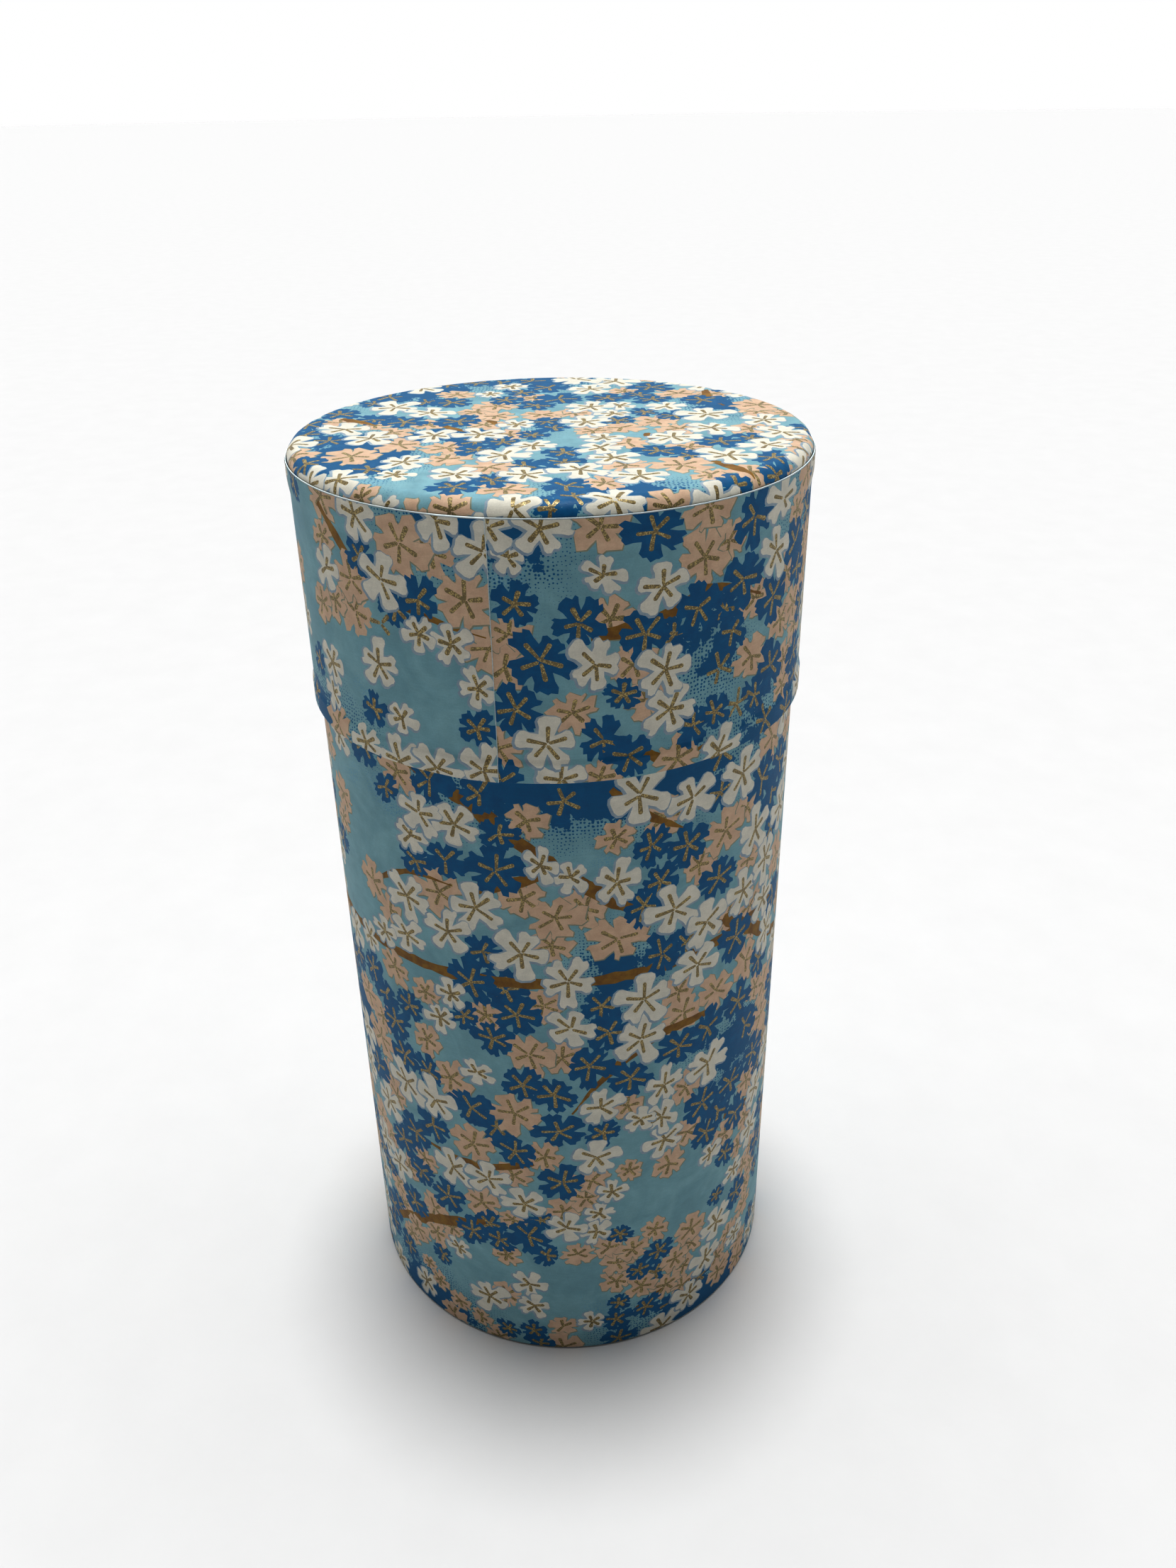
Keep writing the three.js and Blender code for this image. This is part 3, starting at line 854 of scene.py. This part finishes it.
class Nodes:
    """A node tree with short ways to add and join nodes."""

    def __init__(self, tree):
        self.tree = tree

    def put(self, value, socket):
        if isinstance(value, bpy.types.NodeSocket):
            self.tree.links.new(value, socket)
        else:
            socket.default_value = value

    def add(self, kind, inputs=None, **settings):
        node = self.tree.nodes.new(f"ShaderNode{kind}")
        for name, value in settings.items():
            setattr(node, name, value)
        for name, value in (inputs or {}).items():
            self.put(value, node.inputs[name])
        return node

    def maths(self, operation, a, b=0.0):
        return self.add("Math", {0: a, 1: b}, operation=operation).outputs[0]

    def plus(self, a, b):
        return self.maths("ADD", a, b)

    def times(self, a, b):
        return self.maths("MULTIPLY", a, b)

    def vector(self, x, y, z=0.0):
        return self.add("CombineXYZ", {0: x, 1: y, 2: z}).outputs[0]

    def mapped(self, value, low, high, new_low=0.0, new_high=1.0, kind="LINEAR"):
        inputs = {"Value": value, "From Min": low, "From Max": high, "To Min": new_low, "To Max": new_high}
        return self.add("MapRange", inputs, interpolation_type=kind).outputs[0]

    def spread(self, noise, low=0.0, high=1.0):
        """Noise lies mostly from 0.3 to 0.7. This spreads it between two limits."""
        return self.mapped(noise, 0.3, 0.7, low, high)

    def mixed(self, share, a, b, blend="MIX"):
        inputs = {0: share, 6: a, 7: b}
        return self.add("Mix", inputs, data_type="RGBA", blend_type=blend).outputs[2]

    def noise(self, vector, scale, detail, roughness, dimensions="3D", distortion=0.0):
        inputs = {"Vector": vector, "Scale": scale, "Detail": detail, "Roughness": roughness}
        inputs["Distortion"] = distortion
        return self.add("TexNoise", inputs, noise_dimensions=dimensions).outputs[0]

    def dots(self, flat, scale, scatter):
        """Cells scattered over a sheet. Their distances make round dots, their colours are random."""
        inputs = {"Vector": flat, "Scale": scale, "Randomness": scatter}
        return self.add("TexVoronoi", inputs, voronoi_dimensions="2D").outputs

    def dotted(self, size, dots, edge, strength=1.0):
        """How far ink covers a place, where round each cell a dot of this size is printed."""
        inside = self.maths("SUBTRACT", size, dots["Distance"])
        return self.mapped(inside, -edge, edge, 0.0, strength)

    def bump(self, height, distance, strength):
        inputs = {"Height": height, "Distance": distance * MM, "Strength": strength}
        return self.add("Bump", inputs).outputs[0]


class Shader(Nodes):
    """A node material."""

    def __init__(self, name):
        self.material = bpy.data.materials.new(name)
        self.material.use_nodes = True
        super().__init__(self.material.node_tree)
        self.tree.nodes.clear()
        self.surface = self.add("BsdfPrincipled")
        self.put(self.surface.outputs[0], self.add("OutputMaterial").inputs["Surface"])

    def set(self, **values):
        for name, value in values.items():
            self.put(value, self.surface.inputs[name.replace("_", " ")])
        return self.material


def paper_coordinates(shader):
    """The sheet's own flat coordinates in millimetres, and how deep in a cloud the place is."""
    kept = shader.add("Attribute", attribute_name="paper").outputs["Vector"]
    parts = shader.add("SeparateXYZ", {0: kept}).outputs
    return shader.vector(parts[0], parts[1]), parts[2]


def fibres(shader, flat):
    """Long mulberry fibres lying both ways in the sheet, from 0 to 1."""
    made = []
    for turn, stretch in ((0.4, 9.0), (-0.9, 7.0)):
        settings = {"Vector": flat, "Rotation": (0, 0, turn), "Scale": (1 / stretch, 1, 1)}
        turned = shader.add("Mapping", settings).outputs[0]
        value = shader.noise(turned, 3.2, 2.0, 0.5, "2D", 0.6)
        made.append(shader.mapped(value, 0.56, 0.72, kind="SMOOTHSTEP"))
    return shader.maths("MAXIMUM", made[0], made[1])


def ink_finish(shader, colour, flat, rough):
    """Ink soaked into paper: mottled, a little uneven where fibres lie under it, with a dry satin face."""
    mottle = shader.noise(flat, 0.42, 4.0, 0.6, "2D")
    grain = shader.noise(flat, 4.6, 3.0, 0.65, "2D")
    fibre = fibres(shader, flat)
    shade = shader.spread(mottle, 0.95, 1.04)
    shade = shader.times(shade, shader.spread(grain, 0.95, 1.045))
    shade = shader.times(shade, shader.mapped(fibre, 0.0, 1.0, 1.0, 1.045))
    tone = shader.vector(shade, shade, shade)
    height = shader.plus(grain, shader.times(fibre, 0.8))
    return shader.set(
        Base_Color=shader.mixed(1.0, colour, tone, "MULTIPLY"),
        Roughness=shader.spread(grain, rough - 0.06, rough + 0.08),
        Normal=shader.bump(height, 0.006, 0.6),
        Specular_IOR_Level=0.3,
    )


LIGHT_BLUE = linear((118, 158, 168))
PALE_BLUE = linear((131, 171, 179))
DEEP_BLUE = linear((0, 92, 135))
SPECK_BLUE = linear((70, 140, 185))
VARNISH, FLAKE = linear((120, 107, 76)), linear((190, 172, 118))
BARE_DARK, BARE_PALE = linear((196, 214, 220)), linear((232, 238, 238))
DULL_TINT, DULL_SHARE, DULL_ROUGH = 0.86, 0.34, 0.12  # of the marks on tinplate
RING_SCALE, RING_TWIST = 5200.0, 0.004  # drawing lines: how fine, and how far they wander
ROLL_SCALE, ROLL_STRETCH = 160.0, 0.6


def ground_material():
    """Light blue with deep-blue clouds that break up into dots along their edges."""
    shader = Shader("printed_ground")
    flat, cloud = paper_coordinates(shader)
    wash = shader.noise(flat, 0.13, 5.0, 0.6, "2D", 0.5)
    light = shader.mixed(shader.mapped(wash, 0.38, 0.66), LIGHT_BLUE, PALE_BLUE)
    ragged = shader.mapped(shader.noise(flat, 0.28, 2.0, 0.5, "2D"), 0.25, 0.75, -0.3, 0.3)
    hairy = shader.mapped(shader.noise(flat, 1.1, 3.0, 0.7, "2D"), 0.25, 0.75, -0.14, 0.14)
    depth = shader.plus(cloud, ragged)
    edge_dots = shader.mapped(depth, -1.15, -0.05, 0.0, 0.3)
    solid = shader.mapped(shader.plus(depth, hairy), 0.0, 0.16, 0.0, 0.7)
    covered = shader.dotted(shader.plus(edge_dots, solid), shader.dots(flat, 1.75, 0.5), 0.03)
    drift = shader.plus(shader.noise(flat, 0.085, 2.0, 0.5, "2D"), shader.times(cloud, 0.1))
    fine_dots = shader.mapped(drift, 0.42, 0.62, 0.0, 0.3)
    specks = shader.dotted(fine_dots, shader.dots(flat, 2.6, 0.8), 0.04, 0.42)
    light = shader.mixed(specks, light, SPECK_BLUE)
    return ink_finish(shader, shader.mixed(covered, light, DEEP_BLUE), flat, 0.56)


def ink_material(name, colour, other, rough):
    """One ink, drifting between two close colours."""
    shader = Shader(name)
    flat, _ = paper_coordinates(shader)
    drift = shader.mapped(shader.noise(flat, 0.5, 3.0, 0.6, "2D"), 0.35, 0.65)
    return ink_finish(shader, shader.mixed(drift, linear(colour), linear(other)), flat, rough)


def gold_material():
    """Gold ink: a brown varnish full of metal flakes."""
    shader = Shader("gold_ink")
    flat, _ = paper_coordinates(shader)
    flakes = shader.dots(flat, 7.0, 1.0)
    parts = shader.add("SeparateColor", {0: flakes["Color"]}).outputs
    bright = shader.mapped(parts[0], 0.55, 0.95)
    body = shader.mixed(bright, VARNISH, FLAKE)
    height = shader.plus(parts[1], shader.noise(flat, 6.0, 2.0, 0.6, "2D"))
    return shader.set(
        Base_Color=body,
        Metallic=0.35,
        Roughness=shader.mapped(parts[2], 0.0, 1.0, 0.34, 0.56),
        Normal=shader.bump(height, 0.02, 0.6),
    )


def bare_paper_material():
    """The uncoloured sheet, seen on its cut edges and inside."""
    shader = Shader("bare_paper")
    place = shader.add("TexCoord").outputs["Object"]
    grain = shader.noise(place, 2600.0, 3.0, 0.6)
    stretched = shader.add("Mapping", {"Vector": place, "Scale": (1, 1, 6)}).outputs[0]
    fibre = shader.noise(stretched, 700.0, 3.0, 0.6)
    colour = shader.mixed(shader.spread(fibre), BARE_DARK, BARE_PALE)
    height = shader.plus(grain, fibre)
    return shader.set(
        Base_Color=colour,
        Roughness=shader.spread(grain, 0.72, 0.9),
        Normal=shader.bump(height, 0.02, 0.7),
        Specular_IOR_Level=0.3,
    )


def tin_material(name, tint, rough, rings):
    """Bright tinplate with fine lines round it from drawing or up it from rolling, and a few dull marks."""
    shader = Shader(name)
    place = shader.add("TexCoord").outputs["Object"]
    parts = shader.add("SeparateXYZ", {0: place}).outputs
    squares = [shader.maths("POWER", part, 2.0) for part in parts[:2]]
    radius = shader.maths("SQRT", shader.plus(*squares))
    turn = shader.maths("ARCTAN2", parts[0], parts[1])
    if rings:
        along = shader.vector(shader.times(turn, RING_TWIST), radius, parts[2])
    else:
        along = shader.vector(turn, radius, shader.times(parts[2], ROLL_STRETCH))
    lines = shader.noise(along, RING_SCALE if rings else ROLL_SCALE, 3.0, 0.65)
    marks = shader.noise(place, 46.0, 5.0, 0.62, distortion=0.4)
    dull = shader.mapped(marks, 0.52, 0.8, 0.0, DULL_SHARE, "SMOOTHSTEP")
    colour = shader.mixed(dull, linear(tint), linear([c * DULL_TINT for c in tint]))
    streak = shader.spread(lines, rough - 0.06, rough + 0.07)
    return shader.set(
        Base_Color=colour,
        Metallic=1.0,
        Roughness=shader.plus(streak, shader.times(dull, DULL_ROUGH)),
        Normal=shader.bump(lines, 0.004, 0.5),
    )


# ---- camera, floor and light

CAMERA_AT = (0.0047, -0.1870, 0.2003)
CAMERA_PITCH, CAMERA_ROLL = 29.06, -0.90  # degrees below level and round the view
LENS, FILM = 28.74, 36.0  # millimetres, the second along the picture's long side
NEAREST = 0.01  # metres: nothing nearer is drawn
FLOOR_DARK, FLOOR_PALE = linear((203, 203, 203)), linear((205, 205, 205))
FLOOR_RINGS, FLOOR_SIDES = (0.2, 0.8, 3.0, 12.0), 64
TONE = 0.74  # deepens the middle tones as a phone camera does
SUN_STRENGTH = 2.9
SUN_SPREAD, SUN_TILT = 14.0, 5.2  # degrees across, and from overhead towards the back
BACK_GLOW, FRONT_GLOW = 1.0, 0.15
GLOW_RISE = 0.55  # how far the glow reaches over the zenith towards the front
GLOW_LOW, GLOW_HIGH = -0.15, 0.55  # where the glow starts and where it is full


def make_camera():
    camera = bpy.data.objects.new("camera", bpy.data.cameras.new("camera"))
    camera.data.sensor_width = FILM
    camera.data.lens = LENS
    camera.data.clip_start = NEAREST
    tilted = Matrix.Rotation(math.radians(90 - CAMERA_PITCH), 4, "X")
    rolled = Matrix.Rotation(math.radians(CAMERA_ROLL), 4, "Z")
    camera.matrix_world = Matrix.Translation(CAMERA_AT) @ tilted @ rolled
    bpy.context.scene.collection.objects.link(camera)
    bpy.context.scene.camera = camera


def make_floor():
    """A wide pale floor."""
    shader = Shader("studio_floor")
    place = shader.add("TexCoord").outputs["Object"]
    speckle = shader.spread(shader.noise(place, 60.0, 4.0, 0.6))
    shader.set(
        Base_Color=shader.mixed(speckle, FLOOR_DARK, FLOOR_PALE),
        Roughness=0.8,
        Specular_IOR_Level=0.2,
        Normal=shader.bump(shader.noise(place, 900.0, 2.0, 0.6), 0.02, 0.5),
    )
    n = FLOOR_SIDES
    turns = [math.tau * k / n for k in range(n)]
    points = [(0.0, 0.0, 0.0)]
    points += [(r * math.cos(a), r * math.sin(a), 0.0) for r in FLOOR_RINGS for a in turns]
    faces = [(0, 1 + k, 1 + (k + 1) % n) for k in range(n)]
    for low in range(1, 1 + n * (len(FLOOR_RINGS) - 1), n):
        faces += [(low + k, low + n + k, low + n + (k + 1) % n, low + (k + 1) % n) for k in range(n)]
    mesh = bpy.data.meshes.new("floor")
    mesh.from_pydata(points, [], faces)
    mesh.materials.append(shader.material)
    floor = bpy.data.objects.new("floor", mesh)
    bpy.context.scene.collection.objects.link(floor)


def make_light():
    """A broad lamp overhead, a bright wall behind and a dim room in front."""
    world = bpy.data.worlds.new("studio")
    world.use_nodes = True
    sky = Nodes(world.node_tree)
    inputs = {0: sky.add("TexCoord").outputs["Generated"], 1: (0.0, 1.0, GLOW_RISE)}
    way = sky.add("VectorMath", inputs, operation="DOT_PRODUCT").outputs["Value"]
    glow = sky.mapped(way, GLOW_LOW, GLOW_HIGH, FRONT_GLOW, BACK_GLOW, "SMOOTHSTEP")
    background = sky.tree.nodes["Background"].inputs
    sky.put((1.0, 1.0, 1.0, 1.0), background["Color"])
    sky.put(glow, background["Strength"])
    bpy.context.scene.world = world
    light = bpy.data.lights.new("overhead", "SUN")
    light.energy = SUN_STRENGTH
    light.angle = math.radians(SUN_SPREAD)
    lamp = bpy.data.objects.new("overhead", light)
    lamp.rotation_euler = (math.radians(-SUN_TILT), 0, 0)
    bpy.context.scene.collection.objects.link(lamp)
    view = bpy.context.scene.view_settings
    view.view_transform = "Standard"
    view.look = "None"
    view.gamma = TONE


# ---- the three printed sheets


HEM_SLOPE, LAP_SLOPE = 1.0, 2.6  # heights over which the side paper climbs
HEM_TOP = SHELL_LOW + HEM_HEIGHT
BODY_ROWS, SIDE_ROWS, HEM_ROWS, LAP_ROWS = 40.0, 8.0, 0.25, 0.4  # spacing of the lines round a sheet
BODY_MARGIN, SIDE_MARGINS = 1, (5, 4)  # from the sheet's edges to the lines that don't follow a bend


def side_swell(z):
    """The side paper stands out over the hem at the bottom and over the top paper's edge."""
    over_hem = 1 - smooth((z - HEM_TOP) / HEM_SLOPE)
    over_lap = smooth((z - SKIRT_LOW + LAP_SLOPE) / LAP_SLOPE)
    return STEP_UP * np.maximum(over_hem, over_lap)


def even_rows(low, high, spacing):
    count = round((high - low) / spacing)
    return [low + (high - low) * i / count for i in range(count + 1)]


body_rows = even_rows(BODY_LOW + BODY_MARGIN, BODY_HIGH - BODY_MARGIN, BODY_ROWS)
side_rows = even_rows(HEM_TOP, HEM_TOP + HEM_SLOPE, HEM_ROWS)
side_rows += even_rows(SKIRT_LOW - LAP_SLOPE, SKIRT_LOW, LAP_ROWS)
side_rows += even_rows(SHELL_LOW + SIDE_MARGINS[0], SKIRT_LOW - SIDE_MARGINS[1], SIDE_ROWS)
BODY_SHEET = Wrapped(BODY_R, BODY_LOW, BODY_HIGH, BODY_SEAM, body_rows)
SIDE_SHEET = Wrapped(BAND_R - STEP_UP, BAND_LOW, BAND_HIGH, LID_SEAM, side_rows, side_swell)
TOP_SHEET = Disc(TOP_R, TOP_Z, SKIRT_LOW)

# A sheet's open ground and its clouds are ellipses: the place, half the width, half the height, the tilt.
# Its chains are an ink and a route each, and its twigs a width and a route.
BODY_OPEN = [
    (4, 107, 7, 3, -20), (-54, 104, 12, 9), (-60, 88, 9, 6, 20), (-34, 84, 6, 5), (28, 33, 11, 9, -30),
    (-12, 14, 17, 8, 8), (20, 50, 6, 6), (-26, 68, 4, 5, -40), (92, 78, 9, 13, 15), (128, 30, 14, 8),
    (-108, 46, 12, 9, 30), (-150, 96, 13, 9), (168, 62, 9, 12), (78, 14, 9, 6), (-86, 14, 9, 7),
    (120, 104, 10, 7), (-140, 60, 5, 7),
]
BODY_CLOUDS = [
    (10, 117, 22, 6), (50, 60, 8, 5), (-66, 59, 6, 9), (-44, 3, 10, 6), (46, 2, 15, 5), (13, 84, 4, 5),
    (108, 118, 16, 8), (146, 56, 9, 11), (-98, 108, 12, 8), (-138, 22, 13, 8), (176, 10, 11, 8),
]
BODY_CHAINS = [
    (WHITE, (-50, 93), (-40, 88), (-29, 84)), (PEACH, (22, 28), (12, 22), (16, 14)),
    (WHITE, (-24, 10), (-12, 17), (-4, 6)), (WHITE, (28, 42), (24, 52), (14, 58)),
    (WHITE, (-60, 105), (-66, 96)), (PEACH, (34, 22), (27, 12), (34, 6)),
    (WHITE, (98, 70), (90, 82), (96, 92)), (PEACH, (120, 32), (136, 27)), (WHITE, (-112, 52), (-104, 42)),
    (WHITE, (-158, 99), (-144, 93)), (PEACH, (166, 70), (172, 56)),
]
BODY_TWIGS = [
    (2.3, (-40, 120), (-20, 114), (-8, 108), (3, 102), (18, 95), (32, 91), (46, 86)),
    (2.6, (42, 88), (54, 82), (70, 75), (84, 72)), (1.0, (-49, 94), (-36, 99), (-24, 99)),
    (2.0, (-19, 99), (-10, 101), (0, 103)), (1.6, (12, 116), (20, 111), (30, 107)),
    (1.8, (38, 71), (22, 70), (10, 64), (2, 57)), (1.5, (-8, 46), (-24, 43), (-42, 44)),
    (2.0, (-22, 30), (-38, 25), (-56, 17), (-76, 6)), (1.7, (46, 45), (68, 41)), (1.3, (18, 8), (26, 11)),
    (2.2, (100, 60), (118, 48), (140, 44)), (2.0, (150, 100), (168, 88), (-172, 80)),
    (2.1, (-90, 84), (-112, 74), (-130, 76)), (1.7, (-120, 30), (-104, 24), (-92, 30)),
    (1.8, (176, 36), (160, 30), (150, 18)),
]
SIDE_OPEN = [
    (-70, 148, 5, 6), (-63, 139, 4, 12, -20), (-50, 131, 8, 7, -10), (-24, 130, 6, 7), (-74, 126, 4, 5),
    (0, 147, 5, 3), (14, 127, 2, 2), (100, 132, 10, 7), (160, 146, 12, 6), (-130, 134, 11, 8),
]
SIDE_CLOUDS = [
    (-16, 154, 6, 4), (-6, 152, 4, 4), (52, 118, 8, 4), (-60, 119, 7, 4), (34, 134, 4, 4),
    (80, 150, 10, 6), (132, 124, 10, 6), (-160, 150, 10, 6), (-96, 146, 8, 7),
]
SIDE_CHAINS = [
    (WHITE, (-56, 138), (-55, 130), (-52, 126)), (WHITE, (-36, 133), (-31, 126)),
    (WHITE, (-70, 140), (-70, 128)), (WHITE, (104, 138), (96, 128)), (PEACH, (152, 150), (168, 143)),
    (WHITE, (-136, 140), (-126, 130)),
]
SIDE_TWIGS = [
    (1.5, (-52, 153), (-42, 146), (-30, 142), (-12, 139)),
    (1.9, (8, 139), (20, 140), (34, 143), (48, 140)), (1.4, (18, 122), (26, 119), (34, 121)),
    (1.8, (80, 140), (100, 146), (118, 142)), (1.6, (-100, 124), (-116, 120)),
    (1.7, (176, 130), (150, 126)),
]
TOP_OPEN = [
    (-18, -30, 4, 5), (0, -4, 1.5, 4, 30), (12, 12, 1.5, 3, -20), (-10, 28, 2, 2),
]
TOP_CLOUDS = [
    (-26, -14, 7, 11), (-16, -4, 8, 4, 10), (-20, 26, 8, 4, 30), (26, 14, 4, 5), (10, -34, 7, 4),
    (2, 34, 6, 4),
]
TOP_TWIGS = [
    (1.8, (-10, 8), (-8, 2)), (1.7, (25, 25), (25, 18), (27, 13)), (1.5, (14, -4), (15, -9)),
    (1.3, (-17, 4), (-14, 0), (-9, -3)), (1.9, (22, -20), (27, -27)), (1.4, (-32, 8), (-26, 3)),
]

make_camera()
make_floor()
make_light()

INKS = {
    GROUND: ground_material(),
    WHITE: ink_material("white_ink", (211, 208, 196), (204, 202, 191), 0.6),
    BLUE: ink_material("deep_blue_ink", (0, 88, 132), (0, 96, 140), 0.54),
    PEACH: ink_material("peach_ink", (203, 178, 154), (195, 168, 145), 0.58),
    HALO: ink_material("halo_ink", (138, 154, 168), (152, 168, 178), 0.58),
    TAN: ink_material("tan_ink", (140, 143, 125), (134, 139, 122), 0.58),
    TWIG: ink_material("twig_ink", (142, 108, 40), (118, 84, 34), 0.55),
    GOLD: gold_material(),
}

# Each has a seed, its shares of blue and white, the blossoms' scale at its foot and what that gains above.
body_print = Print(BODY_SHEET, 5, (0.38, 0.40), 0.86, 0.16, BODY_OPEN, BODY_CLOUDS, BODY_CHAINS, BODY_TWIGS)
side_print = Print(SIDE_SHEET, 11, (0.41, 0.37), 0.95, 0.0, SIDE_OPEN, SIDE_CLOUDS, SIDE_CHAINS, SIDE_TWIGS)
top_print = Print(TOP_SHEET, 23, (0.28, 0.58), 0.94, 0.0, TOP_OPEN, TOP_CLOUDS, (), TOP_TWIGS)
printed_face("body_print", body_print, "can", "body_paper")
printed_face("lid_side_print", side_print, "outer_lid", "lid_side_paper")
printed_face("lid_top_print", top_print, "outer_lid", "lid_top_paper")

BARE = bare_paper_material()
CAN_TIN = tin_material("rolled_tinplate", (217, 218, 215), 0.26, False)
LID_TIN = tin_material("drawn_tinplate", (221, 222, 219), 0.24, True)
can_wall(CAN_TIN)
can_base(LID_TIN)
plug(LID_TIN)
lid_cup(LID_TIN)
sheet_piece("body_sheet", BODY_SHEET, BARE, "can", "body_paper")
sheet_piece("lid_side_sheet", SIDE_SHEET, BARE, "outer_lid", "lid_side_paper")
sheet_piece("lid_top_sheet", TOP_SHEET, BARE, "outer_lid", "lid_top_paper")
